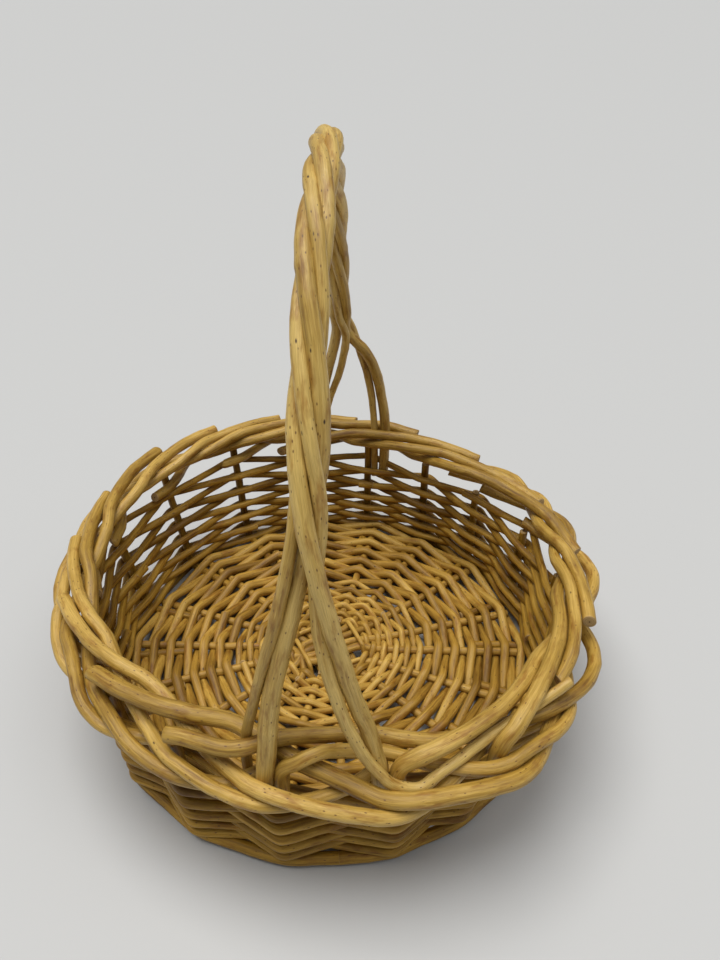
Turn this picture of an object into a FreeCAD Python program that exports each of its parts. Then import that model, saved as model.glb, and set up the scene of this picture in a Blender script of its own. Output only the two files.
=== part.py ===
import FreeCAD, Part
import math
import os

# A round willow market basket with a fixed hoop handle, made rod by rod.
# Frame: +Z up, origin on the ground under the middle of the base. The handle stands in the YZ plane.
# Every rod is a round section swept along straight runs and tangent arcs. Lengths are millimetres.

DIMENSIONS = [
    ("stake_count", 18, "upright stakes, and spokes of the base: an even number"),
    ("base_stick_diameter", 5.6, ""),
    ("stake_diameter", 6.0, ""),
    ("fine_weaver_diameter", 3.2, "middle of the base"),
    ("base_weaver_diameter", 5.6, "rest of the base"),
    ("side_weaver_diameter", 5.4, ""),
    ("foot_rod_diameter", 7.6, ""),
    ("border_rod_diameter", 7.2, ""),
    ("handle_rod_diameter", 7.0, ""),
    ("weave_clearance", 0.15, "gap left between rods that lie on each other"),
    ("base_height", 9.5, "middle of the base sticks above the ground"),
    ("base_stick_reach", 140, "from the middle of the base to a stick's end"),
    ("cross_width", 13, "half width of the cross where the sticks pass"),
    ("fan_radius", 29, "where the sticks have spread into spokes"),
    ("fine_first_radius", 34.5, "first fine round of the base"),
    ("fine_round_pitch", 6.6, ""),
    ("fine_rounds", 6, ""),
    ("base_first_radius", 76.6, "first thick round of the base"),
    ("base_round_pitch", 11.45, ""),
    ("base_rounds", 6, ""),
    ("stake_insert", 34, "length of stake pushed in beside its base stick"),
    ("stake_bend_radius", 8, ""),
    ("foot_radius", 148, "circle of the stakes at the foot"),
    ("border_radius", 156, "circle of the stakes at the border"),
    ("side_first_height", 18.35, "first round of the side"),
    ("side_round_pitch", 11.1, ""),
    ("side_rounds", 6, ""),
    ("border_height", 95.9, "middle of the border"),
    ("border_half_width", 10.7, "from the middle of the border to its rods' middles"),
    ("border_half_height", 5.3, ""),
    ("handle_height", 355, "top of the handle above the ground"),
    ("handle_bundle_radius", 5.4, "middle of the handle to its rods' middles"),
    ("handle_leg_depth", 62, "length of each leg pushed down beside a stake"),
    ("handle_turns", 1.5, "turns of the handle's twist"),
]

doc = FreeCAD.newDocument("market_basket")
sheet = doc.addObject("Spreadsheet::Sheet", "dimensions")
for row, (alias, value, note) in enumerate(DIMENSIONS, start=1):
    sheet.set(f"A{row}", alias)
    sheet.set(f"B{row}", str(value))
    sheet.set(f"C{row}", note)
    sheet.setAlias(f"B{row}", alias)
doc.recompute()


def size(alias):
    return float(sheet.get(alias))


STAKES = int(size("stake_count"))
BAY = 360.0 / STAKES
CLEAR = size("weave_clearance")
STAKE_RADIUS = size("stake_diameter") / 2
STICK_RADIUS = size("base_stick_diameter") / 2
BASE_HEIGHT = size("base_height")
BORDER_HEIGHT = size("border_height")
BORDER_RADIUS = size("border_radius")
BORDER_WIDTH = size("border_half_width")
BORDER_RISE = size("border_half_height")
BESIDE = STICK_RADIUS + STAKE_RADIUS + CLEAR  # a stake's middle from its stick's middle
LEG_BESIDE = STAKE_RADIUS + size("handle_rod_diameter") / 2 + 3 * CLEAR
BEND_TOP = BASE_HEIGHT + size("stake_bend_radius")
LEAN_TOP = BORDER_HEIGHT - BORDER_RISE - size("border_rod_diameter") / 2


def polar(radius, angle, height):
    turn = math.radians(angle)
    return FreeCAD.Vector(radius * math.cos(turn), radius * math.sin(turn), height)


def smooth(x):
    x = min(max(x, 0.0), 1.0)
    return x * x * (3 - 2 * x)


def stake_angle(number):
    return BAY * number


def stick_angle(number):
    return stake_angle(number) - math.degrees(math.asin(BESIDE / size("foot_radius")))


def wall_radius(height):
    rise = (height - BEND_TOP) / (LEAN_TOP - BEND_TOP)
    return size("foot_radius") + (BORDER_RADIUS - size("foot_radius")) * min(max(rise, 0.0), 1.0)


# ---- paths ----


def arc_or_line(start, corner, end):
    """The arc from start to end whose tangents meet at corner, or a line where that is straight."""
    middle = (start + end) * 0.5
    reach = (corner - start).Length
    half_chord = (end - start).Length / 2
    height = (corner - middle).Length
    if height < 1e-4 * reach:
        return Part.LineSegment(start, end).toShape()
    radius = reach * half_chord / height
    to_centre = reach * reach / height
    on_arc = corner + (middle - corner) * ((to_centre - radius) / height)
    return Part.Arc(start, on_arc, end).toShape()


def two_arcs(start, start_way, end, end_way):
    """Two arcs that leave start along start_way, meet, and reach end along end_way."""
    across = end - start
    ways = start_way + end_way
    turn = 2 * (1 - start_way.dot(end_way))
    along = across.dot(ways)
    if turn < 1e-9:
        reach = across.dot(across) / (2 * along)
    else:
        reach = (math.sqrt(along * along + turn * across.dot(across)) - along) / turn
    first_corner = start + start_way * reach
    second_corner = end - end_way * reach
    meet = (first_corner + second_corner) * 0.5
    return [arc_or_line(start, first_corner, meet), arc_or_line(meet, second_corner, end)]


def wire_through(stations):
    """One wire through (point, direction) stations, tangent all the way."""
    edges = []
    for (start, start_way), (end, end_way) in zip(stations, stations[1:]):
        edges += two_arcs(start, start_way, end, end_way)
    return Part.Wire(edges)


def stations_on(curve, values, step=1e-3):
    """Points and directions of curve(value) at each value."""
    stations = []
    for value in values:
        way = curve(value + step) - curve(value - step)
        stations.append((curve(value), way.normalize()))
    return stations


def evenly(first, last, spans):
    return [first + (last - first) * i / spans for i in range(spans + 1)]


def rounded_path(points, radii):
    """Straight runs through points, with a tangent arc of the given radius at each inner point."""
    edges = []
    here = points[0]
    for before, corner, after, radius in zip(points, points[1:], points[2:], radii):
        back = (before - corner).normalize()
        on = (after - corner).normalize()
        half_turn = (math.pi - back.getAngle(on)) / 2
        cut = radius * math.tan(half_turn)
        start = corner + back * cut
        end = corner + on * cut
        edges.append(Part.LineSegment(here, start).toShape())
        edges.append(arc_or_line(start, corner, end))
        here = end
    edges.append(Part.LineSegment(here, points[-1]).toShape())
    return Part.Wire(edges)


def rod(label, diameter_alias, wire):
    """A round rod along wire, with its section bound to the sheet."""
    spine = doc.addObject("Part::Feature", label + "_path")
    spine.Shape = wire
    edge = wire.OrderedEdges[0]
    start = wire.OrderedVertexes[0].Point
    way = edge.tangentAt(edge.getParameterByLength(0.0))
    if (edge.valueAt(edge.getParameterByLength(0.0)) - start).Length > 1e-4:
        way = edge.tangentAt(edge.getParameterByLength(edge.Length)) * -1
    section = doc.addObject("Part::Circle", label + "_section")
    section.setExpression("Radius", f"dimensions.{diameter_alias} / 2")
    section.Placement = FreeCAD.Placement(start, FreeCAD.Rotation(FreeCAD.Vector(0, 0, 1), way))
    sweep = doc.addObject("Part::Sweep", label)
    sweep.Label = label
    sweep.Sections = [section]
    sweep.Spine = (spine, [f"Edge{i + 1}" for i in range(len(wire.Edges))])
    sweep.Solid = True
    sweep.Frenet = False
    return sweep


def group(label, rods):
    """Rods of one round, kept apart as solids of one named piece."""
    compound = doc.addObject("Part::Compound", label)
    compound.Label = label
    compound.Links = rods
    return compound


# ---- base ----


def base_stick(number):
    """A stick that goes straight through the cross, then out along its two spokes. Half of the sticks
    cross over the other half."""
    over = STAKES // 4
    under = STAKES // 2 - over
    if number < over:
        middle = (over - 1) / 2
        level = BASE_HEIGHT + STICK_RADIUS + CLEAR / 2
    else:
        middle = over + (under - 1) / 2
        level = BASE_HEIGHT - STICK_RADIUS - CLEAR / 2
    place = number - middle
    middle_spoke = stick_angle(middle)
    across = place * (2 * STICK_RADIUS + CLEAR)
    along = size("cross_width")
    fan = size("fan_radius")
    reach = size("base_stick_reach")
    spoke = middle_spoke + place * BAY
    opposite = middle_spoke - place * BAY + 180
    side = polar(across, middle_spoke + 90, 0)
    points = [
        polar(reach, spoke, BASE_HEIGHT),
        polar(fan, spoke, BASE_HEIGHT),
        polar(along, middle_spoke, level) + side,
        polar(along, middle_spoke + 180, level) + side,
        polar(fan, opposite, BASE_HEIGHT),
        polar(reach, opposite, BASE_HEIGHT),
    ]
    bend = 2.5 * STICK_RADIUS
    return rod(f"base_stick_{number + 1}", "base_stick_diameter", rounded_path(points, [bend] * 4))


def flat_strand(label, diameter_alias, radius, first_over, pair_centre, start_spoke):
    """One strand of the base, over a spoke and under the next."""
    weaver = size(diameter_alias) / 2
    swing = (STAKE_RADIUS if pair_centre else STICK_RADIUS) + weaver + 2 * CLEAR
    shift = math.degrees(math.asin(pair_centre / radius))
    sign = 1 if first_over else -1

    def curve(spoke):
        level = BASE_HEIGHT + sign * swing * math.cos(math.pi * spoke)
        return polar(radius, stick_angle(spoke) + shift, level)

    end_gap = 0.02
    values = evenly(start_spoke + end_gap, start_spoke + STAKES - end_gap, 2 * STAKES)
    return rod(label, diameter_alias, wire_through(stations_on(curve, values)))


def base_round(name, diameter_alias, radius, pitch, start_spoke):
    """Two strands side by side: where one goes over a spoke, the other goes under it."""
    inserted_from = size("base_stick_reach") - size("stake_insert")
    pair_centre = BESIDE / 2 if radius > inserted_from - STAKE_RADIUS else 0.0
    strands = []
    for n in range(2):
        label = f"{name}_strand_{'ab'[n]}"
        place = radius + (n - 0.5) * pitch / 2
        strands.append(flat_strand(label, diameter_alias, place, n == 1, pair_centre, start_spoke))
    return strands


def base_middle_weave():
    strands = []
    for n in range(int(size("fine_rounds"))):
        pitch = size("fine_round_pitch")
        radius = size("fine_first_radius") + n * pitch
        strands += base_round(f"fine_round_{n + 1}", "fine_weaver_diameter", radius, pitch, 3 * n)
    return group("base_middle_weave", strands)


def base_weaver_pair(number):
    """Two thick weavers that go round twice."""
    strands = []
    for n in (2 * number, 2 * number + 1):
        pitch = size("base_round_pitch")
        radius = size("base_first_radius") + n * pitch
        strands += base_round(f"base_round_{n + 1}", "base_weaver_diameter", radius, pitch, 5 * n + 2)
    return group(f"base_weaver_pair_{number + 1}", strands)


# ---- side ----


def side_stake(number):
    """A stake pushed in beside its base stick, bent up at the foot and standing into the border."""
    stick = stick_angle(number)
    aside = polar(BESIDE, stick + 90, 0)

    def at(radius, height):
        along = math.sqrt(radius * radius - BESIDE * BESIDE)
        return polar(along, stick, height) + aside

    inner = size("base_stick_reach") - size("stake_insert")
    points = [
        at(inner, BASE_HEIGHT),
        at(size("foot_radius"), BASE_HEIGHT),
        at(BORDER_RADIUS, LEAN_TOP),
        at(BORDER_RADIUS, BORDER_HEIGHT + BORDER_RISE),
    ]
    radii = [size("stake_bend_radius"), 60]
    return rod(f"side_stake_{number + 1:02d}", "stake_diameter", rounded_path(points, radii))


def side_strand(label, height, first_outside, start_stake):
    """One strand of a round of the side: outside a stake, inside the next."""
    weaver = size("side_weaver_diameter") / 2
    swing = size("handle_rod_diameter") / 2 + weaver + 6 * CLEAR
    sign = 1 if first_outside else -1

    def curve(stake):
        out = sign * swing * math.cos(math.pi * stake)
        return polar(wall_radius(height) + out, stake_angle(stake), height)

    end_gap = 0.02
    values = evenly(start_stake + end_gap, start_stake + STAKES - end_gap, 2 * STAKES)
    return rod(label, "side_weaver_diameter", wire_through(stations_on(curve, values)))


def side_round(number):
    """Two strands, one above the other: where one goes outside a stake, the other goes inside it."""
    pitch = size("side_round_pitch")
    name = f"side_round_{number + 1}"
    strands = []
    for n in range(2):
        height = size("side_first_height") + number * pitch + (n - 0.5) * pitch / 2
        strands.append(side_strand(f"{name}_strand_{'ab'[n]}", height, n == 0, 5 * number + n))
    return group(name, strands)


def foot_ring():
    """The rod that the basket stands on: it lies under the stakes' bends and dips to the ground between them."""
    radius = size("foot_rod_diameter") / 2
    bend = size("stake_bend_radius")
    slant = math.sqrt(0.5)
    reach = (bend + STAKE_RADIUS + radius + 4 * CLEAR) * slant
    at_stake = FreeCAD.Vector(size("foot_radius") - bend + reach, 0, BEND_TOP - reach)

    def curve(stake):
        dip = (1 - math.cos(2 * math.pi * stake)) / 2
        return polar(at_stake.x, stake_angle(stake), at_stake.z + (radius - at_stake.z) * dip)

    values = evenly(0.52, STAKES + 0.48, 2 * STAKES)
    return rod("foot_ring", "foot_rod_diameter", wire_through(stations_on(curve, values)))


# ---- border ----


def border_rod(number):
    """A plait rod. It starts on the outside, crosses over the top to the inside, comes back out
    underneath, and its end is tucked in between two stakes under the border."""
    lower_out = 3.0
    tuck_from = 3.22
    tucked_at = 3.76
    dropped_at = 3.4
    tail_drop = BORDER_RISE + size("border_rod_diameter") + CLEAR
    tail_inset = STAKE_RADIUS + size("border_rod_diameter") / 2 + 1.6
    slant = math.sqrt(0.5)

    def curve(stake):
        if stake <= lower_out:
            turn = math.pi / 4 + math.pi / 2 * stake - 0.25 * math.sin(2 * math.pi * stake)
            out = BORDER_WIDTH * math.cos(turn)
            up = BORDER_RISE * math.sin(turn)
        else:
            tuck = smooth((stake - tuck_from) / (tucked_at - tuck_from))
            drop = smooth((stake - lower_out) / (dropped_at - lower_out))
            out = BORDER_WIDTH * slant - (BORDER_WIDTH * slant + tail_inset) * tuck
            up = -BORDER_RISE * slant - (tail_drop - BORDER_RISE * slant) * drop
        return polar(BORDER_RADIUS + out, stake_angle(number + stake), BORDER_HEIGHT + up)

    values = evenly(-0.42, lower_out, 14) + evenly(lower_out, 4.12, 8)[1:]
    wire = wire_through(stations_on(curve, values))
    return rod(f"border_rod_{number + 1:02d}", "border_rod_diameter", wire)


# ---- handle ----


def handle_rod(number):
    """One of four rods: a leg beside a front stake, a share of the twisted hoop, a leg beside a back stake."""
    foot_angle = BAY / 2
    hoop_start = BORDER_HEIGHT + BORDER_RISE + size("border_rod_diameter") / 2
    half_depth = BORDER_RADIUS * math.cos(math.radians(foot_angle))
    half_spread = BORDER_RADIUS * math.sin(math.radians(foot_angle))
    bundle = size("handle_bundle_radius")
    rise = size("handle_height") - size("handle_rod_diameter") / 2 - bundle - hoop_start
    front_split = 30.0
    back_split = 160.0
    twist = 360 * size("handle_turns")

    def pair_offset(angle, blend):
        """From the middle of the hoop's section to this rod, while its pair spreads to a stake."""
        side = 1 if math.cos(math.radians(angle)) > 0 else -1
        upper = 1 if math.sin(math.radians(angle)) > 0 else -1
        spread = half_spread + (bundle * math.sqrt(0.5) - half_spread) * blend
        apart = LEG_BESIDE + (bundle * math.sqrt(0.5) - LEG_BESIDE) * blend
        lean = math.radians(90 * blend - foot_angle * (1 - blend))
        return (
            side * (spread + upper * apart * math.cos(lean)),
            upper * apart * math.sin(lean),
        )

    def curve(turn):
        """Along the hoop from the front at 0 to the back at 180 degrees."""
        angle = 45 + 90 * number
        if turn < front_split:
            across, out = pair_offset(angle, smooth(turn / front_split))
        elif turn > back_split:
            across, out = pair_offset(angle + twist, smooth((180 - turn) / (180 - back_split)))
        else:
            here = math.radians(angle + twist * (turn - front_split) / (back_split - front_split))
            across, out = bundle * math.cos(here), bundle * math.sin(here)
        way = math.radians(turn)
        outward = FreeCAD.Vector(0, -rise * math.cos(way), half_depth * math.sin(way)).normalize()
        middle = FreeCAD.Vector(0, -half_depth * math.cos(way), hoop_start + rise * math.sin(way))
        return middle + FreeCAD.Vector(across, 0, 0) + outward * out

    def leg(hoop_end):
        """From a hoop end straight down through the border, then along the leaning stake."""
        spin = math.atan2(hoop_end.y, hoop_end.x)
        foot = hoop_end.z - size("handle_leg_depth") - 2 * BORDER_RISE
        low = polar(wall_radius(foot), math.degrees(spin), foot)
        knee = polar(BORDER_RADIUS, math.degrees(spin), LEAN_TOP)
        return [low, knee]

    down = FreeCAD.Vector(0, 0, -1)
    stations = stations_on(curve, evenly(2, 178, 34))
    front, back = curve(0), curve(180)
    legs = []
    for end in (front, back):
        low, knee = leg(end)
        lean = (knee - low).normalize()
        legs.append((low, lean, knee, end))
    low, lean, knee, end = legs[0]
    start = [(low, lean), (knee - lean * 4, lean), (knee - down * 4, down * -1), (end, down * -1)]
    low, lean, knee, end = legs[1]
    finish = [(end, down), (knee - down * 4, down), (knee - lean * 4, lean * -1), (low, lean * -1)]
    wire = wire_through(start + stations + finish)
    return rod(f"handle_rod_{number + 1}", "handle_rod_diameter", wire)


# ---- the whole basket ----

pieces = [base_stick(n) for n in range(STAKES // 2)]
pieces.append(base_middle_weave())
pieces += [base_weaver_pair(n) for n in range(int(size("base_rounds")) // 2)]
pieces += [side_stake(n) for n in range(STAKES)]
pieces.append(foot_ring())
pieces += [side_round(n) for n in range(int(size("side_rounds")))]
pieces += [border_rod(n) for n in range(STAKES)]
pieces += [handle_rod(n) for n in range(4)]
doc.recompute()

for item in doc.Objects:
    if {"Invalid", "Error"} & set(item.State):
        raise RuntimeError(f"{item.Label} did not compute: {item.State}")
for piece in pieces:
    if piece.Shape.isNull() or not piece.Shape.isValid():
        raise RuntimeError(f"{piece.Label} has no valid shape")

os.makedirs("parts", exist_ok=True)
for piece in pieces:
    piece.Shape.exportStep(f"parts/{piece.Label}.step")
    print(f"{piece.Label}: {len(piece.Shape.Solids)} solid(s), {piece.Shape.Volume:.0f} mm3")
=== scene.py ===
import math

import bpy
import numpy as np
from mathutils import Euler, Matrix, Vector


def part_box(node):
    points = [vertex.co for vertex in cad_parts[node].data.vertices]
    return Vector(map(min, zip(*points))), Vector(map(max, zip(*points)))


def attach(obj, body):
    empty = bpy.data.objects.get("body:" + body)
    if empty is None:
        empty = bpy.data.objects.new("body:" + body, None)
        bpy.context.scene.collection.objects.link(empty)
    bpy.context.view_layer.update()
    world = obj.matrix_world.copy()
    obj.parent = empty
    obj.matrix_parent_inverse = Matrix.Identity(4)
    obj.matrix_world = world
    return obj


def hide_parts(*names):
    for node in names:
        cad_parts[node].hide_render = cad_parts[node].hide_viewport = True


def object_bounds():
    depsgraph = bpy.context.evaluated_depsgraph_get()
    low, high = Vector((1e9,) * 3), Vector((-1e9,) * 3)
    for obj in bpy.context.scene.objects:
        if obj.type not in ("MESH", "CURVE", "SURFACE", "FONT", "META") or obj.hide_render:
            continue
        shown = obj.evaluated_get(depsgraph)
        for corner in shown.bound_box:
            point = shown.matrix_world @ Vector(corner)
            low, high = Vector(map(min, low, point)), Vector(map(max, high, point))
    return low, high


# A woven willow market basket: every rod is its own tapered, slightly crooked tube with cut ends.
# All lengths in this script are millimetres, turned into metres where a mesh is made. Angles are
# degrees, counter-clockwise seen from above, with 0 along +X and 270 at the front.

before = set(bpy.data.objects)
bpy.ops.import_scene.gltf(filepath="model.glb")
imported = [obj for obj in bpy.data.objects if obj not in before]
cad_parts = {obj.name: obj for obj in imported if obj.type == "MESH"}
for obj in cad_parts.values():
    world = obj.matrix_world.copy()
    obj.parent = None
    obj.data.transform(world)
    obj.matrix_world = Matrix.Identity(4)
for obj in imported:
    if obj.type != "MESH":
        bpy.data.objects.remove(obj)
cad_low, cad_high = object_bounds()
MM = 0.001


def cad_box(node):
    low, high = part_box(node)
    return np.array(low) / MM, np.array(high) / MM


# ---- sizes ----

STAKES = 18
HALF_BAY = 180 / STAKES
FOOT_RADIUS = 3.8
WEAVER_RADIUS = 2.8

# Read from the frame.
HANDLE_TOP = cad_high[2] / MM
BORDER_LOW, BORDER_HIGH = cad_box("border_rod_01")
BORDER_MIDDLE = (BORDER_HIGH[2] + BORDER_LOW[2]) / 2 + 3.7
FOOT_OUT = cad_box("foot_ring")[1][0] - FOOT_RADIUS
BASE_LEVEL = (cad_box("base_weaver_pair_2")[0][2] + cad_box("base_weaver_pair_2")[1][2]) / 2
BASE_REACH = cad_box("base_weaver_pair_3")[1][0] - WEAVER_RADIUS

# Chosen.
STAKE_CIRCLE_LOW = 147.2
STAKE_CIRCLE_TOP = 156.0

# Stakes and spokes of a hand-made basket aren't spaced evenly. These are set to look like the photo.
STAKE_ANGLES = [1, 21, 42, 61, 80.5, 100, 122, 144, 165.5, 185, 204, 224, 243.5, 264.3, 287, 303.5, 322, 342]
SPOKE_ANGLES = [0, 16, 38, 58, 77, 97, 117, 140, 162, 180, 197, 218, 238, 258, 278, 298, 319, 341]

# The rim isn't a true circle: it is wider from the left-back to the right-front, and higher at the left.
RIM_OVAL = 6.0
RIM_SHIFT = 3.0
RIM_LIFT = 3.5
# The handle and the front of the border stand this far to the right of the middle of the base.
LEAN = np.array([4.5, 0.0, 0.0])


def rim_out(angle):
    oval = np.cos(np.radians(2 * (angle - 52.0)))
    shift = np.cos(np.radians(angle - 20.0))
    return -RIM_OVAL * oval - RIM_SHIFT * shift


def rim_up(angle):
    return -RIM_LIFT * np.cos(np.radians(angle))


# ---- paths ----


def polar(radius, angle, height):
    turn = np.radians(angle)
    level = np.broadcast_to(height, np.shape(turn))
    return np.stack([radius * np.cos(turn), radius * np.sin(turn), level], -1)


def angle_at(angles, place):
    """The angle of a place counted in spokes, which may be a fraction and may go round many times."""
    turns, rest = divmod(place, len(angles))
    whole = int(math.floor(rest))
    ring = angles + [angles[0] + 360]
    return ring[whole] + (ring[whole + 1] - ring[whole]) * (rest - whole) + 360 * turns


def lengths_along(points):
    steps = np.linalg.norm(np.diff(points, axis=0), axis=1)
    return np.concatenate([[0.0], np.cumsum(steps)])


def resample(points, spacing):
    along = lengths_along(points)
    count = max(3, int(round(along[-1] / spacing)) + 1)
    places = np.linspace(0, along[-1], count)
    return np.stack([np.interp(places, along, points[:, i]) for i in range(3)], -1)


def relaxed(points, spacing, softness):
    """Straight runs through points with soft bends, as a stiff rod takes them. The ends stay put."""
    line = resample(np.asarray(points, float), spacing)
    reach = max(1, int(round(3 * softness / spacing)))
    kernel = np.exp(-0.5 * (np.arange(-reach, reach + 1) * spacing / softness) ** 2)
    kernel /= kernel.sum()
    head = 2 * line[0] - line[reach:0:-1]
    tail = 2 * line[-1] - line[-2 : -reach - 2 : -1]
    padded = np.concatenate([head, line, tail])
    return np.stack([np.convolve(padded[:, i], kernel, "valid") for i in range(3)], -1)


def flowing(points, spacing):
    """One smooth curve through all the points."""
    points = np.asarray(points, float)
    knots = lengths_along(points)
    slopes = np.gradient(points, knots, axis=0)
    fine = np.arange(0, knots[-1], spacing)
    span = np.clip(np.searchsorted(knots, fine, "right") - 1, 0, len(knots) - 2)
    width = (knots[span + 1] - knots[span])[:, None]
    t = ((fine - knots[span]) / width[:, 0])[:, None]
    line = (
        (2 * t**3 - 3 * t**2 + 1) * points[span]
        + (t**3 - 2 * t**2 + t) * width * slopes[span]
        + (-2 * t**3 + 3 * t**2) * points[span + 1]
        + (t**3 - t**2) * width * slopes[span + 1]
    )
    return np.concatenate([line, points[-1:]])


# ---- rods ----


def carried_frames(line):
    """Directions along the line, with one side direction carried along without twist."""
    way = np.gradient(line, axis=0)
    way /= np.linalg.norm(way, axis=1)[:, None]
    side = np.zeros_like(way)
    start = np.cross(way[0], [0.0, 0.0, 1.0])
    if np.linalg.norm(start) < 0.2:
        start = np.cross(way[0], [0.0, 1.0, 0.0])
    side[0] = start / np.linalg.norm(start)
    for i in range(1, len(line)):
        carried = side[i - 1] - way[i] * side[i - 1].dot(way[i])
        side[i] = carried / np.linalg.norm(carried)
    return way, side, np.cross(way, side)


def slow_noise(rng, places, wave, size):
    """A smooth random curve along a rod."""
    total = np.zeros(len(places))
    for octave in range(3):
        reach = wave / 1.9**octave
        total += np.sin(places * 2 * np.pi / reach + rng.uniform(0, 2 * np.pi)) / 1.6**octave
    return size * total / 1.9


class Rods:
    """Collects the rods of one piece and makes one mesh of them."""

    def __init__(self, seed):
        self.rng = np.random.default_rng(seed)
        self.points, self.grain, self.tone = [], [], []
        self.quads, self.ends = [], []
        self.count = 0

    def add(self, line, start_radius, end_radius, sides=12, tone=0.5, crooked=0.35, cuts=(0.0, 0.0)):
        """A rod along line. cuts are the slants of its two cut ends, in degrees."""
        rng = self.rng
        along = lengths_along(line)
        line = line.copy()
        edge = np.clip(np.minimum(along, along[-1] - along) / 12.0, 0, 1)
        for axis in range(3):
            line[:, axis] += slow_noise(rng, along, 47.0, crooked) * edge
        way, side, up = carried_frames(line)
        share = along / along[-1]
        radius = start_radius + (end_radius - start_radius) * share
        radius = radius * (1 + slow_noise(rng, along, 71.0, 0.03))
        place = rng.uniform(10, 50)
        while place < along[-1]:
            radius = radius * (1 + rng.uniform(0.02, 0.07) * np.exp(-(((along - place) / 2.6) ** 2)))
            place += rng.uniform(28, 75)
        turn = np.linspace(0, 2 * np.pi, sides, endpoint=False)
        flat = rng.uniform(0.01, 0.05)
        lean = rng.uniform(0, np.pi) + slow_noise(rng, along, 160.0, 0.8)
        oval = 1 + flat * np.cos(2 * (turn[None, :] - lean[:, None]))
        ring = (radius[:, None] * oval)[..., None] * (
            np.cos(turn)[None, :, None] * side[:, None, :] + np.sin(turn)[None, :, None] * up[:, None, :]
        )
        ring = line[:, None, :] + ring
        for row, cut in ((0, cuts[0]), (-1, cuts[1])):
            slope = math.tan(math.radians(cut))
            ring[row] += way[row] * (slope * radius[row] * np.cos(turn + rng.uniform(0, 6.28)))[:, None]
        offset = rng.uniform(0, 4000)
        spin = rng.uniform(0, 6.28)
        grain = np.empty(ring.shape)
        grain[..., 0] = (along + offset)[:, None]
        grain[..., 1] = radius[:, None] * np.cos(turn + spin)[None, :]
        grain[..., 2] = radius[:, None] * np.sin(turn + spin)[None, :]
        shade = tone + slow_noise(rng, along, 230.0, 0.10)
        rows = len(line)
        index = np.arange(rows * sides).reshape(rows, sides) + self.count
        self.quads.append(
            np.stack(
                [index[:-1], np.roll(index[:-1], -1, 1), np.roll(index[1:], -1, 1), index[1:]], -1
            ).reshape(-1, 4)
        )
        self.points.append(ring.reshape(-1, 3))
        self.grain.append(grain.reshape(-1, 3))
        self.tone.append(np.repeat(shade, sides))
        self.count += rows * sides
        for row, towards in ((0, -1), (rows - 1, 1)):
            self.cap(ring[row], way[row] * towards, radius[row], index[row], shade[row], towards)

    def cap(self, rim, outward, radius, rim_index, shade, towards):
        """A cut end: a small bevel, then a flat face with its pith."""
        sides = len(rim)
        centre = rim.mean(0)
        rings = []
        for inset, proud in ((0.93, 0.25), (0.84, 0.36), (0.45, 0.40)):
            rings.append(centre + (rim - centre) * inset + outward * proud)
        pith = centre + outward * 0.30
        block = np.concatenate(rings + [pith[None]])
        first = self.count
        previous = rim_index
        for level in range(3):
            current = first + level * sides + np.arange(sides)
            quad = np.stack([previous, np.roll(previous, -1), np.roll(current, -1), current], -1)
            self.ends.append(quad if towards > 0 else quad[:, ::-1])
            previous = current
        middle_index = np.full(sides, first + 3 * sides)
        tip = np.stack([previous, np.roll(previous, -1), middle_index, middle_index], -1)
        self.ends.append(tip if towards > 0 else tip[:, ::-1])
        self.points.append(block)
        spread = np.concatenate([np.full(sides, 0.93), np.full(sides, 0.84), np.full(sides, 0.45), [0.0]])
        self.grain.append(np.stack([spread * radius, spread * 0, np.full(len(block), 7.0 * first)], -1))
        self.tone.append(np.full(len(block), shade))
        self.count += len(block)

    def piece(self, node, materials):
        """Makes the mesh, puts it on the body and hides the CAD node that it stands for."""
        name = "willow_" + node
        points = np.concatenate(self.points) * MM
        sides = np.concatenate(self.quads)
        ends = np.concatenate(self.ends)
        faces = [list(q) for q in sides.tolist()]
        for quad in ends.tolist():
            unique = list(dict.fromkeys(quad))
            faces.append(unique)
        mesh = bpy.data.meshes.new(name)
        mesh.from_pydata(points.tolist(), [], faces)
        mesh.attributes.new("grain", "FLOAT_VECTOR", "POINT").data.foreach_set(
            "vector", np.concatenate(self.grain).astype(np.float32).ravel()
        )
        mesh.attributes.new("tone", "FLOAT", "POINT").data.foreach_set(
            "value", np.concatenate(self.tone).astype(np.float32)
        )
        for material in materials:
            mesh.materials.append(material)
        index = np.zeros(len(faces), np.int32)
        index[len(sides) :] = 1
        mesh.polygons.foreach_set("material_index", index)
        mesh.polygons.foreach_set("use_smooth", np.ones(len(faces), bool))
        mesh.update()
        obj = bpy.data.objects.new(name, mesh)
        bpy.context.scene.collection.objects.link(obj)
        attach(obj, "root")
        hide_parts(node)
        return obj


# ---- materials ----


def add_node(tree, kind, place, **values):
    node = tree.nodes.new(kind)
    node.location = place
    for key, value in values.items():
        if key in node.inputs:
            node.inputs[key].default_value = value
        else:
            setattr(node, key, value)
    return node


def ramp(tree, place, stops):
    node = tree.nodes.new("ShaderNodeValToRGB")
    node.location = place
    elements = node.color_ramp.elements
    while len(elements) < len(stops):
        elements.new(0.5)
    for element, (position, color) in zip(elements, stops):
        element.position = position
        element.color = (*color, 1.0) if len(color) == 3 else color
    return node


def mix(tree, place, kind, factor, first, second):
    node = tree.nodes.new("ShaderNodeMix")
    node.data_type = "RGBA"
    node.blend_type = kind
    node.location = place
    for socket, value in ((node.inputs[0], factor), (node.inputs[6], first), (node.inputs[7], second)):
        if isinstance(value, bpy.types.NodeSocket):
            tree.links.new(value, socket)
        else:
            socket.default_value = value
    return node.outputs[2]


def stretched(tree, source, place, scale):
    node = add_node(tree, "ShaderNodeVectorMath", place, operation="MULTIPLY")
    tree.links.new(source, node.inputs[0])
    node.inputs[1].default_value = scale
    return node.outputs[0]


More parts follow.
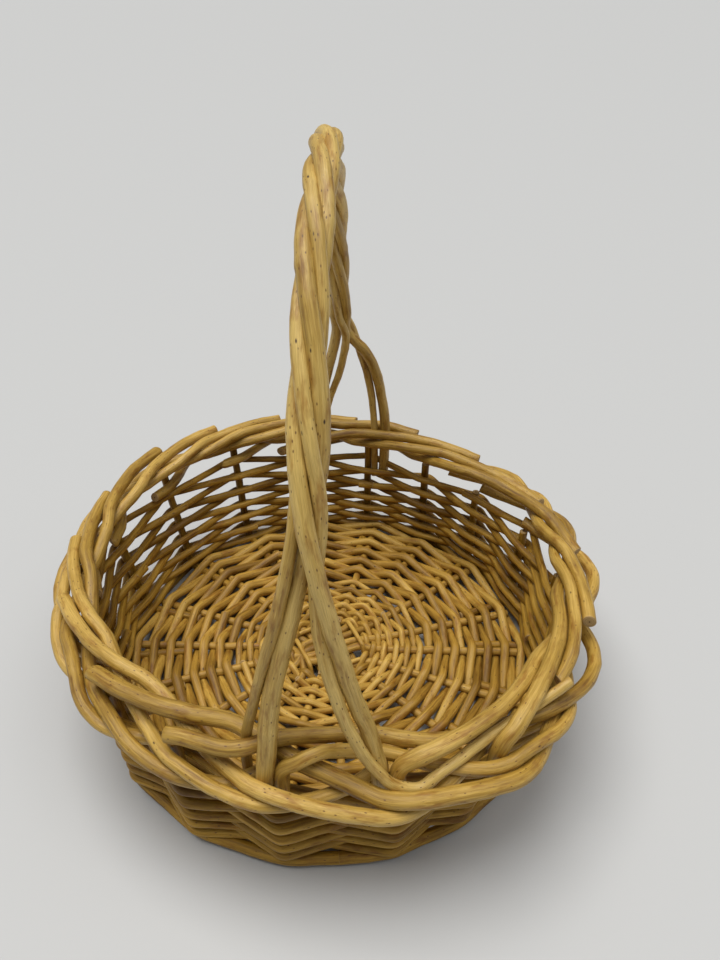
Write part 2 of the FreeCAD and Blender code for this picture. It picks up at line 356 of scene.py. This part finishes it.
def noise(tree, source, place, scale, detail=3.0, roughness=0.55):
    node = add_node(tree, "ShaderNodeTexNoise", place)
    node.inputs["Scale"].default_value = 1.0
    node.inputs["Detail"].default_value = detail
    node.inputs["Roughness"].default_value = roughness
    tree.links.new(stretched(tree, source, (place[0] - 200, place[1]), scale), node.inputs["Vector"])
    return node.outputs["Fac"]


def willow(name, light, middle, dark, gloss, shine):
    """Dry peeled willow: streaks along the rod, bud scars, brown stains and a satin skin."""
    material = bpy.data.materials.new(name)
    material.use_nodes = True
    tree = material.node_tree
    tree.nodes.clear()
    output = add_node(tree, "ShaderNodeOutputMaterial", (900, 0))
    shader = add_node(tree, "ShaderNodeBsdfPrincipled", (600, 0))
    tree.links.new(shader.outputs[0], output.inputs[0])
    grain = add_node(tree, "ShaderNodeAttribute", (-1400, 0), attribute_name="grain").outputs["Vector"]
    tone = add_node(tree, "ShaderNodeAttribute", (-1400, 400), attribute_name="tone").outputs["Fac"]
    streak = noise(tree, grain, (-900, 300), (0.03, 0.75, 0.75), 4.0, 0.62)
    fibre = noise(tree, grain, (-900, 0), (0.12, 4.5, 4.5), 2.0, 0.5)
    blotch = noise(tree, grain, (-900, -300), (0.022, 0.10, 0.10), 2.0, 0.5)
    stain = noise(tree, grain, (-900, -600), (0.06, 0.22, 0.22), 3.0, 0.6)
    sum_one = add_node(tree, "ShaderNodeMath", (-650, 300), operation="MULTIPLY_ADD")
    tree.links.new(streak, sum_one.inputs[0])
    sum_one.inputs[1].default_value = 1.25
    tree.links.new(tone, sum_one.inputs[2])
    sum_two = add_node(tree, "ShaderNodeMath", (-500, 300), operation="MULTIPLY_ADD")
    tree.links.new(blotch, sum_two.inputs[0])
    sum_two.inputs[1].default_value = 1.0
    tree.links.new(sum_one.outputs[0], sum_two.inputs[2])
    shift = add_node(tree, "ShaderNodeMath", (-350, 300), operation="SUBTRACT")
    tree.links.new(sum_two.outputs[0], shift.inputs[0])
    shift.inputs[1].default_value = 1.12
    colour = ramp(tree, (-200, 300), [(0.12, dark), (0.5, middle), (0.9, light)])
    tree.links.new(shift.outputs[0], colour.inputs[0])
    fibre_mask = ramp(tree, (-450, 0), [(0.34, (0.62, 0.58, 0.50)), (0.60, (1.0, 1.0, 1.0))])
    tree.links.new(fibre, fibre_mask.inputs[0])
    base = mix(tree, (0, 200), "MULTIPLY", 0.60, colour.outputs[0], fibre_mask.outputs[0])
    stain_mask = ramp(tree, (-450, -600), [(0.52, (0, 0, 0)), (0.68, (1, 1, 1))])
    tree.links.new(stain, stain_mask.inputs[0])
    stained = mix(tree, (150, 100), "MULTIPLY", stain_mask.outputs[0], base, (0.66, 0.53, 0.36, 1))
    buds = add_node(tree, "ShaderNodeTexVoronoi", (-900, -900))
    buds.inputs["Scale"].default_value = 1.0
    tree.links.new(stretched(tree, grain, (-1100, -900), (0.05, 0.11, 0.11)), buds.inputs["Vector"])
    bud_mask = ramp(tree, (-650, -900), [(0.030, (1, 1, 1)), (0.065, (0, 0, 0))])
    tree.links.new(buds.outputs["Distance"], bud_mask.inputs[0])
    specks = add_node(tree, "ShaderNodeTexVoronoi", (-900, -1200))
    specks.inputs["Scale"].default_value = 1.0
    tree.links.new(stretched(tree, grain, (-1100, -1200), (0.20, 0.42, 0.42)), specks.inputs["Vector"])
    speck_mask = ramp(tree, (-650, -1200), [(0.08, (0.9, 0.9, 0.9)), (0.17, (0, 0, 0))])
    tree.links.new(specks.outputs["Distance"], speck_mask.inputs[0])
    spotted = mix(tree, (300, 50), "MIX", bud_mask.outputs[0], stained, (0.045, 0.018, 0.005, 1))
    speckled = mix(tree, (420, 50), "MIX", speck_mask.outputs[0], spotted, (0.13, 0.055, 0.012, 1))
    tree.links.new(speckled, shader.inputs["Base Color"])
    rough = add_node(tree, "ShaderNodeMapRange", (300, -200))
    tree.links.new(streak, rough.inputs["Value"])
    rough.inputs["To Min"].default_value = gloss + 0.10
    rough.inputs["To Max"].default_value = gloss - 0.08
    tree.links.new(rough.outputs[0], shader.inputs["Roughness"])
    shader.inputs["Specular IOR Level"].default_value = shine
    bump = add_node(tree, "ShaderNodeBump", (400, -400))
    bump.inputs["Strength"].default_value = 0.55
    bump.inputs["Distance"].default_value = 0.0006
    relief = mix(tree, (150, -400), "MULTIPLY", 0.8, streak, fibre_mask.outputs[0])
    tree.links.new(relief, bump.inputs["Height"])
    tree.links.new(bump.outputs[0], shader.inputs["Normal"])
    return material


def end_grain(name, face, ring_color):
    """The sawn face of a rod: pale wood with rings round a dark pith."""
    material = bpy.data.materials.new(name)
    material.use_nodes = True
    tree = material.node_tree
    shader = tree.nodes["Principled BSDF"]
    grain = add_node(tree, "ShaderNodeAttribute", (-1000, 0), attribute_name="grain").outputs["Vector"]
    split = add_node(tree, "ShaderNodeSeparateXYZ", (-800, 0))
    tree.links.new(grain, split.inputs[0])
    rings = add_node(tree, "ShaderNodeMath", (-600, 0), operation="MULTIPLY")
    tree.links.new(split.outputs[0], rings.inputs[0])
    rings.inputs[1].default_value = 5.5
    wave = add_node(tree, "ShaderNodeMath", (-450, 0), operation="SINE")
    tree.links.new(rings.outputs[0], wave.inputs[0])
    band = ramp(tree, (-300, 0), [(0.2, face), (1.0, ring_color)])
    tree.links.new(wave.outputs[0], band.inputs[0])
    pith = ramp(tree, (-300, -250), [(0.25, (0.10, 0.05, 0.02)), (0.9, (1, 1, 1))])
    tree.links.new(split.outputs[0], pith.inputs[0])
    base = mix(tree, (-50, 0), "MULTIPLY", 0.8, band.outputs[0], pith.outputs[0])
    tree.links.new(base, shader.inputs["Base Color"])
    shader.inputs["Roughness"].default_value = 0.8
    return material


END_GRAIN = end_grain("cut_willow", (0.46, 0.31, 0.13), (0.30, 0.18, 0.06))
HANDLE_SKIN = willow(
    "handle_willow_skin", (0.70, 0.49, 0.145), (0.50, 0.315, 0.066), (0.28, 0.155, 0.025), 0.42, 0.5
)
BORDER_SKIN = willow(
    "border_willow_skin", (0.66, 0.43, 0.105), (0.45, 0.27, 0.043), (0.23, 0.122, 0.016), 0.42, 0.45
)
SIDE_SKIN = willow(
    "side_willow_skin", (0.65, 0.40, 0.070), (0.44, 0.245, 0.027), (0.21, 0.106, 0.009), 0.46, 0.32
)
BASE_SKIN = willow(
    "base_willow_skin", (0.66, 0.42, 0.090), (0.46, 0.26, 0.038), (0.22, 0.112, 0.013), 0.46, 0.38
)
STRAW_SKIN = willow(
    "straw_willow_skin", (0.66, 0.42, 0.095), (0.47, 0.27, 0.043), (0.24, 0.125, 0.016), 0.46, 0.38
)


# ---- base ----

STICK_RADIUS = 2.9
TIE_REACH = 19.0
FAN_REACH = 29.0


def make_base_stick(number):
    """A stick straight through the middle; four of them cross over the other five."""
    top = number < 4
    middle = 1.5 if top else 6.0
    place = number - middle
    level = BASE_LEVEL + (3.1 if top else -2.7)
    heading = 27.7 if top else 117.7
    side = polar(place * (2 * STICK_RADIUS + 0.2), heading + 90, 0.0)
    spoke, opposite = SPOKE_ANGLES[number], SPOKE_ANGLES[number + STAKES // 2]
    points = [
        polar(BASE_REACH + 2.0, spoke, BASE_LEVEL),
        polar(90.0, spoke, BASE_LEVEL),
        polar(FAN_REACH + 12, spoke, BASE_LEVEL),
        polar(FAN_REACH, spoke, BASE_LEVEL + (level - BASE_LEVEL) * 0.3),
        polar(TIE_REACH, heading, level) + side,
        polar(0.0, heading, level) + side,
        polar(TIE_REACH, heading + 180, level) + side,
        polar(FAN_REACH, opposite, BASE_LEVEL + (level - BASE_LEVEL) * 0.3),
        polar(FAN_REACH + 12, opposite, BASE_LEVEL),
        polar(90.0, opposite, BASE_LEVEL),
        polar(BASE_REACH + 2.0, opposite, BASE_LEVEL),
    ]
    rods = Rods(100 + number)
    line = relaxed(points, 1.8, 4.0)
    rods.add(line, STICK_RADIUS, STICK_RADIUS * 0.94, 12, rods.rng.uniform(0.25, 0.5), 0.25)
    rods.piece(f"base_stick_{number + 1}", [STRAW_SKIN, END_GRAIN])


def flat_weave(rods, first, last, spiral, lift, thick, thin, over_first, tones, softness):
    """A strand over a spoke and under the next. spiral is its first radius, its pitch and its first spoke."""
    first_radius, spacing, shift = spiral
    points = []
    for spoke in range(first, last + 1):
        over = 1 if (spoke + over_first) % 2 == 0 else -1
        radius = first_radius + spacing * 2 * (spoke - shift) / STAKES + rods.rng.normal(0, 0.35)
        level = BASE_LEVEL + over * lift + rods.rng.normal(0, 0.25)
        points.append(polar(radius, angle_at(SPOKE_ANGLES, spoke) + rods.rng.normal(0, 0.5), level))
    rods.add(relaxed(points, 1.5, softness), thick, thin, 10, rods.rng.uniform(*tones), 0.12)


def make_base_middle():
    """Fine weavers from the tied cross outwards, two strands chasing each other."""
    rods = Rods(200)
    first_radius, spacing, last = 25.0, 4.3, 92
    for strand in range(2):
        start = 0
        while start < last:
            end = min(start + 26 + 7 * strand, last)
            shift = 4 + 9 * strand
            flat_weave(
                rods, start + shift, end + shift, (first_radius, spacing, shift),
                4.3, 2.5, 2.2, strand, (0.35, 0.80), 1.9,
            )
            start = end
    for heading, half, level in ((27.7, 12.5, 7.4), (117.7, 15.5, 3.2)):
        for end in (-1, 1):
            centre = polar(end * 20.5, heading, 0.0)
            across = polar(1.0, heading + 90, 0.0)
            ties = [
                centre - across * (half + 3.4) + [0, 0, BASE_LEVEL - 3],
                centre - across * half + [0, 0, BASE_LEVEL + level - 0.8],
                centre + [0, 0, BASE_LEVEL + level],
                centre + across * half + [0, 0, BASE_LEVEL + level - 0.8],
                centre + across * (half + 3.4) + [0, 0, BASE_LEVEL - 3],
            ]
            rods.add(relaxed(ties, 1.2, 1.6), 1.7, 1.6, 10, 0.7, 0.1)
    rods.piece("base_middle_weave", [STRAW_SKIN, END_GRAIN])


def make_base_weavers(number):
    """Two thick strands that chase each other for two turns."""
    rods = Rods(220 + number)
    first_radius, spacing = 70.3, 5.97
    for strand in range(2):
        shift = 5 + 9 * strand
        first = 36 * number + (0, 3, -2)[number] * 2
        last = 36 * (number + 1) + (3, -2, 0)[number] * 2
        middle = (first + last) // 2 + 3 * strand
        for begin, end in ((first, middle), (middle, last)):
            flat_weave(
                rods, begin + shift, end + shift, (first_radius, spacing, shift),
                5.4, 3.35, 3.0, strand, (0.28, 0.75), 2.4,
            )
    rods.piece(f"base_weaver_pair_{number + 1}", [BASE_SKIN, END_GRAIN])


# ---- side ----

BENT_STAKES = (13, 14, 15)
SHORT_STAKES = {0: 10.0, 1: 15.0, 2: 14.0, 3: 10.0}


def wall_point(angle, height, out):
    """A point beside the stakes' wall, which leans out and follows the rim's shape higher up."""
    rise = min(max((height - 17.0) / 75.0, 0.0), 1.0)
    radius = STAKE_CIRCLE_LOW + (STAKE_CIRCLE_TOP + rim_out(angle) - STAKE_CIRCLE_LOW) * rise
    return polar(radius + out, angle, height + rim_up(angle) * rise)


def make_side_stake(number):
    """A stake pushed in beside its base stick, bent up at the foot and standing into the border."""
    rods = Rods(300 + number)
    spoke, stake = SPOKE_ANGLES[number], STAKE_ANGLES[number]
    beside = math.degrees(6.0 / 106.0)
    points = [
        polar(104.0, spoke + beside, BASE_LEVEL),
        polar(132.0, spoke + beside * 0.8 + (stake - spoke) * 0.3, BASE_LEVEL),
        polar(STAKE_CIRCLE_LOW - 1, stake, BASE_LEVEL + 0.4),
        wall_point(stake, BASE_LEVEL + 11, 1.0),
        wall_point(stake, 60.0, 0.0),
        wall_point(stake, stake_top(number), 0.0),
    ]
    rods.add(relaxed(points, 1.6, 4.2), 3.2, 2.9, 12, rods.rng.uniform(0.1, 0.45), 0.25)
    rods.piece(f"side_stake_{number + 1:02d}", [SIDE_SKIN, END_GRAIN])


def stake_top(number):
    """Where a stake ends: low where the bent ones turn into the border, elsewhere inside the border."""
    if number in BENT_STAKES:
        return BORDER_MIDDLE - 20.0
    return BORDER_MIDDLE - SHORT_STAKES.get(number, 2.0)


def row_height(level):
    """Rows are beaten tight at the foot and get looser towards the border."""
    return 10.4 + 4.45 * level + 0.118 * level * level


def make_side_round(number):
    """Two strands that chase each other once round: one outside a stake while the other is inside it."""
    rods = Rods(330 + number)
    seams = (0, 4, -2, 6, 2, -4, 0)
    for strand in range(2):
        shift = 11 + 9 * strand
        first = 18 * number + seams[number]
        last = 18 * (number + 1) + seams[number + 1]
        points = []
        for stake in range(first, last + 1):
            height = row_height(2 * stake / STAKES) + rods.rng.normal(0, 0.4)
            out = 7.2 if (stake + strand + shift) % 2 == 0 else -6.6
            out += rods.rng.normal(0, 0.3)
            points.append(wall_point(angle_at(STAKE_ANGLES, stake + shift), height, out))
        points = np.array(points)
        for end, inner in ((0, 1), (-1, -2)):
            reach = points[end] - points[inner]
            points[end] = points[end] + reach / np.linalg.norm(reach) * 6.0
        tone = rods.rng.uniform(0.15, 0.6)
        thick = rods.rng.uniform(2.8, 3.1)
        rods.add(relaxed(points, 1.6, 2.7), thick, thick - 0.35, 12, tone, 0.25)
    rods.piece(f"side_round_{number + 1}", [SIDE_SKIN, END_GRAIN])


def make_foot():
    """The rod that the basket stands on: straight from stake to stake under their bends."""
    rods = Rods(360)
    points = []
    for step in range(2 * STAKES + 1):
        place = step / 2 + 13.5
        at_stake = step % 2 == 1
        angle = angle_at(STAKE_ANGLES, place)
        if at_stake:
            points.append(polar(FOOT_OUT + 0.6, angle, 6.4))
        else:
            points.append(polar((FOOT_OUT + 0.2) * math.cos(math.radians(HALF_BAY)), angle, 5.0))
    rods.add(relaxed(points, 1.8, 4.5), FOOT_RADIUS, 3.5, 12, 0.35, 0.2)
    rods.piece("foot_ring", [SIDE_SKIN, END_GRAIN])


# ---- border ----

# Each border rod goes round anticlockwise: from its cut end over the top to the inner edge, down
# through the wall, out in a low loop, and back in under the border to its other cut end.


def steep(start):
    """A rod that drops through the wall soon after its start."""
    return (start, 11), (start + 32, -13), start + 56, (start + 80, 11), start + 107


def gentle(start):
    """A rod that stays on top for longer."""
    return (start, 9), (start + 46, -11), start + 64, (start + 80, 14), start + 106


# The places that decide each rod's course: cut end, inner edge, where it passes under the stakes' circle,
# widest place of its loop, and where it is tucked in. Degrees, and millimetres out from the circle.
BORDER_COURSES = {
    1: gentle(2), 2: gentle(21), 3: gentle(45), 4: gentle(66), 5: gentle(85),
    6: steep(107), 7: steep(125), 8: steep(142),
    9: ((162, 17), (192, -5), 205, (236, 10), 266),
    10: ((178, 14), (212, -10), 237, (255, 10), 284),
    11: ((197, 10), (230, -15), 255, (278, 14), 311),
    12: ((220, 4), (250, -17), 277, (302, 20), 335),
    13: ((242, 2), (270, -17), 310, (330, 16), 356),
    14: ((263, -3), (273, -10), 292, (314, 17), 340),
    15: ((285, 2), (326, -9), 345, (360, 14), 383),
    16: ((304, 7), (345, -12), 363, (378, 13), 402),
    17: ((321, 5), (357, -12), 375, (388, 12), 414),
    18: ((339, 7), (369, -12), 386, (399, 12), 422),
}
FIRST_LEANING_ROD = 9  # the rods at the front and right lean with the handle
SIDE_OF_STAKE = {14: 13, 15: 14, 16: 15}  # border rods that are the bent-over tops of stakes
BORDER_THICK = {12: 4.7, 13: 4.3, 16: 4.6, 9: 4.3, 6: 3.6}


def between(first, second, share):
    return first + (second - first) * share


def border_course(number):
    """Places along a border rod: degrees, out from the stakes' circle, up from the border's middle."""
    (start, start_out), (inner, inner_out), under, (loop, loop_out), tuck = BORDER_COURSES[number]
    if number in SIDE_OF_STAKE:
        course = [(start, start_out, up) for up in (-22, -12, -3)]
        course += [(start + 0.8, start_out, 3.5), (start + 3.5, start_out - 0.5, 7.5)]
        start, start_out = start + 4.5, start_out - 1
    else:
        course = [(start, start_out, 8.5)]
    for share, up in ((0.25, 10), (0.5, 10), (0.75, 9.5), (1.0, 7.5)):
        course.append((between(start, inner, share), between(start_out, inner_out, share), up))
    for share, part, up in ((0.33, 0.85, 4.5), (0.66, 0.45, 0), (1.0, 0.0, -4.5)):
        course.append((between(inner, under, share), inner_out * part, up))
    for share, part, up in ((0.33, 0.45, -5.5), (0.66, 0.82, -6.5), (1.0, 1.0, -7.5)):
        course.append((between(under, loop, share), loop_out * part, up))
    for share, part, up in ((0.3, 0.82, -9.5), (0.55, 0.25, -12)):
        course.append((between(loop, tuck, share), loop_out * part, up))
    return course + [(between(loop, tuck, 0.8), -4, -12.5), (tuck, -9.5, -11)]


def border_line(number):
    """The course of one border rod before the rods settle against each other."""
    points = []
    for angle, out, up in border_course(number):
        if number >= FIRST_LEANING_ROD:
            points.append(polar(STAKE_CIRCLE_TOP + out, angle, BORDER_MIDDLE + up) + LEAN)
        else:
            radius = STAKE_CIRCLE_TOP + rim_out(angle) + out
            points.append(polar(radius, angle, BORDER_MIDDLE + rim_up(angle) + up))
    return flowing(points, SETTLE_STEP)


# ---- handle ----

HOOP_HALF_DEPTH = 148.0
HOOP_FOOT = 100.0
HOOP_RISE = HANDLE_TOP - HOOP_FOOT - 7.5
TWIST_TURN = 49.0
# Thickness, colour and twist place of each strand, and its legs below the twist, at the front and at
# the back: (turn round the hoop, across, out).
STRANDS = {
    1: dict(
        left_at=80, radii=(2.6, 4.1), tone=0.55,
        front=[(-14, -34, -2), (0, -34, -4), (12, -24, -2), (22, -13, 0)],
        back=[(161, 17, -1), (172, 31, 0), (178, 34, -1), (196, 33, -6)],
    ),
    2: dict(
        left_at=68, radii=(4.7, 2.6), tone=0.6,
        front=[(-14, -25, 0), (0, -24, 1), (12, -17, -1), (22, -7, -4)],
        back=[(158, 8, 3), (170, 22, 0), (178, 25, -1), (196, 26, -6)],
    ),
    3: dict(
        left_at=55, radii=(2.8, 3.9), tone=0.8,
        front=[(0, 31, 8), (6, 18, 5), (13, 9, 3), (24, 3, 0)],
        back=[(157, -3, 3), (165, -10, 1), (178, -22, -1), (196, -23, -6)],
    ),
    4: dict(
        left_at=43, radii=(4.5, 2.6), tone=0.75,
        front=[(-14, 33, 0), (0, 30, -1), (12, 17, 0), (22, 7, 3)],
        back=[(157, 4, -4), (163, 1, -2), (176, -14, -1), (196, -15, -6)],
    ),
}
TWIST_STARTS = 33
# The thin front strand is hooked round the border and runs on under it: (degrees, out, up).
HOOK = [(322, 10, 10), (313, 3, 3), (302, 2, -1), (292, 6, -4), (288, 8, -8), (283, 6, -2)]


def bundle_radius(turn):
    opening = min(max((52.0 - turn) / 11.0, 0.0), 1.0)
    return 4.1 + 1.1 * opening


def hoop_point(turn, across, out):
    """A point beside the hoop. turn goes from 0 at the front foot over the top to 180 at the back."""
    if turn < 0 or turn > 180:
        below = -turn if turn < 0 else turn - 180
        ahead = -1.0 if turn < 0 else 1.0
        depth = HOOP_HALF_DEPTH + out + 3.5 * (1 - math.exp(-below / 6.0))
        return LEAN + np.array([across, ahead * depth, HOOP_FOOT - 2.4 * below])
    way = math.radians(turn)
    outward = np.array([0.0, -HOOP_RISE * math.cos(way), HOOP_HALF_DEPTH * math.sin(way)])
    outward /= np.linalg.norm(outward)
    middle = np.array([0.0, -HOOP_HALF_DEPTH * math.cos(way), HOOP_FOOT + HOOP_RISE * math.sin(way)])
    drift = 2.2 * math.exp(-(((turn - 85) / 22.0) ** 2))
    return LEAN + middle + np.array([across + drift, 0, 0]) + outward * out


def handle_line(number):
    strand = STRANDS[number]
    points = []
    if number == 3:
        for angle, out, up in HOOK:
            points.append(polar(STAKE_CIRCLE_TOP + out, angle, BORDER_MIDDLE + up) + LEAN)
    points += [hoop_point(*entry) for entry in strand["front"]]
    turn = TWIST_STARTS
    while turn <= strand["back"][0][0] - 4.0:
        lag = math.radians(360 * (turn - strand["left_at"]) / TWIST_TURN)
        reach = bundle_radius(turn)
        points.append(hoop_point(turn, -reach * math.cos(lag), -reach * math.sin(lag)))
        turn += 4.0
    points += [hoop_point(*entry) for entry in strand["back"]]
    return flowing(points, SETTLE_STEP)


# ---- settling: the rods push each other aside where they overlap ----

SETTLE_STEP = 3.6
SETTLE_ROUNDS = 80
SETTLE_SPREAD = 3.6
SETTLE_GAIN = 2.0


def near_pairs(points, owner, reach):
    """Pairs of points of different rods that are closer than reach."""
    first, second = [], []
    for start in range(0, len(points), 400):
        block = points[start : start + 400]
        gap = np.linalg.norm(block[:, None] - points[None], axis=2)
        i, j = np.nonzero(gap < reach)
        keep = owner[i + start] < owner[j]
        first.append(i[keep] + start)
        second.append(j[keep])
    return np.concatenate(first), np.concatenate(second)


def settle(lines, radii, owners, mobility):
    """Moves the lines apart where their rods overlap. Each move is spread along the rod."""
    counts = [len(line) for line in lines]
    cuts = np.cumsum([0] + counts)
    points = np.concatenate(lines)
    radius = np.concatenate([np.linspace(r[0], r[1], n) for r, n in zip(radii, counts)])
    owner = np.repeat(owners, counts)
    freedom = np.repeat(mobility, counts).astype(float)
    kernel = np.exp(-0.5 * (np.arange(-12, 13) / SETTLE_SPREAD) ** 2)
    kernel /= kernel.sum()
    for step in range(SETTLE_ROUNDS):
        if step % 6 == 0:
            i, j = near_pairs(points, owner, 13.0)
        gap = points[i] - points[j]
        distance = np.maximum(np.linalg.norm(gap, axis=1), 0.01)
        overlap = np.maximum(radius[i] + radius[j] + 0.15 - distance, 0)
        share = freedom[i] / (freedom[i] + freedom[j] + 1e-9)
        direction = gap / distance[:, None]
        push = np.zeros_like(points)
        weight = np.zeros(len(points))
        np.add.at(push, i, direction * (overlap * share)[:, None])
        np.add.at(push, j, -direction * (overlap * (1 - share))[:, None])
        np.add.at(weight, i, overlap > 0)
        np.add.at(weight, j, overlap > 0)
        push /= np.maximum(weight, 1)[:, None]
        push[freedom == 0] = 0
        for begin, end in zip(cuts[:-1], cuts[1:]):
            for axis in range(3):
                padded = np.pad(push[begin:end, axis], 12, "edge")
                push[begin:end, axis] = np.convolve(padded, kernel, "valid") * SETTLE_GAIN
        points = points + push * 0.8
    return [points[begin:end] for begin, end in zip(cuts[:-1], cuts[1:])]


def make_rim_rods():
    """Border rods and handle strands, settled against each other and against the stakes."""
    lines, radii, owners, mobility = [], [], [], []
    for number in range(1, STAKES + 1):
        rng = np.random.default_rng(600 + number)
        thick = BORDER_THICK.get(number, rng.uniform(3.8, 4.3))
        lines.append(border_line(number))
        radii.append((thick, thick - 0.4))
        owners.append(SIDE_OF_STAKE.get(number, 100 + number))
        mobility.append(1.0)
    for number in STRANDS:
        lines.append(handle_line(number))
        radii.append(tuple(0.86 * size for size in STRANDS[number]["radii"]))
        owners.append(200 + number)
        mobility.append(0.3)
    for number in range(STAKES):
        angle = STAKE_ANGLES[number]
        heights = np.arange(62.0, stake_top(number) + 0.1, SETTLE_STEP)
        lines.append(np.array([wall_point(angle, height, 0.0) for height in heights]))
        radii.append((3.0, 2.9))
        owners.append(number)
        mobility.append(0.0)
    settled = settle(lines, radii, owners, mobility)
    for number in range(1, STAKES + 1):
        rods = Rods(400 + number)
        rng = rods.rng
        line = flowing(settled[number - 1], 1.7)
        slants = (rng.uniform(5, 25), rng.uniform(5, 20))
        rods.add(line, *radii[number - 1], 14, rng.uniform(0.42, 0.72), 0.2, slants)
        rods.piece(f"border_rod_{number:02d}", [BORDER_SKIN, END_GRAIN])
    for number, strand in STRANDS.items():
        rods = Rods(500 + number)
        line = flowing(settled[STAKES + number - 1], 1.7)
        rods.add(line, *strand["radii"], 16, strand["tone"], 0.2, (12, 12))
        rods.piece(f"handle_rod_{number}", [HANDLE_SKIN, END_GRAIN])


# ---- room, light and camera ----


def plain(name, color, roughness):
    material = bpy.data.materials.new(name)
    material.use_nodes = True
    shader = material.node_tree.nodes["Principled BSDF"]
    shader.inputs["Base Color"].default_value = (*color, 1)
    shader.inputs["Roughness"].default_value = roughness
    return material


def make_floor():
    mesh = bpy.data.meshes.new("floor")
    half = 40.0
    corners = [(-half, -half, 0), (half, -half, 0), (half, half, 0), (-half, half, 0)]
    mesh.from_pydata(corners, [], [(0, 1, 2, 3)])
    mesh.materials.append(plain("pale_floor", (0.50, 0.505, 0.51), 0.7))
    floor = bpy.data.objects.new("floor", mesh)
    bpy.context.scene.collection.objects.link(floor)


def make_sun(name, lean_x, lean_y, spread, power, color):
    """Soft light from above; lean_x and lean_y say where it comes from, against one unit of height."""
    data = bpy.data.lights.new(name, "SUN")
    data.energy = power
    data.angle = math.radians(spread)
    data.color = color
    light = bpy.data.objects.new(name, data)
    light.location = (lean_x, lean_y, 1.0)
    light.rotation_euler = Vector((-lean_x, -lean_y, -1.0)).to_track_quat("-Z", "Y").to_euler()
    bpy.context.scene.collection.objects.link(light)


def make_world():
    world = bpy.data.worlds.new("room")
    world.use_nodes = True
    back = world.node_tree.nodes["Background"]
    back.inputs["Color"].default_value = (0.92, 0.96, 1.0, 1)
    back.inputs["Strength"].default_value = 0.24
    bpy.context.scene.world = world


def make_camera():
    data = bpy.data.cameras.new("camera")
    data.sensor_width = 36.0
    data.lens = 27.04
    data.clip_start = 0.01
    data.clip_end = 200.0
    camera = bpy.data.objects.new("camera", data)
    camera.location = (0.0319, -0.3526, 0.4151)
    camera.rotation_euler = Euler((math.radians(90 - 35.8), 0, math.radians(1.58)), "XYZ")
    bpy.context.scene.collection.objects.link(camera)
    bpy.context.scene.camera = camera


for stick in range(STAKES // 2):
    make_base_stick(stick)
make_base_middle()
for pair in range(3):
    make_base_weavers(pair)
for stake_number in range(STAKES):
    make_side_stake(stake_number)
for side_number in range(6):
    make_side_round(side_number)
make_foot()
make_rim_rods()

make_floor()
make_world()
make_sun("top_light", -0.20, 0.05, 42.0, 2.75, (1.0, 0.98, 0.94))
make_sun("side_light", 0.5, -0.1, 35.0, 0.7, (1.0, 0.98, 0.94))
make_camera()
bpy.context.scene.view_settings.view_transform = "Standard"
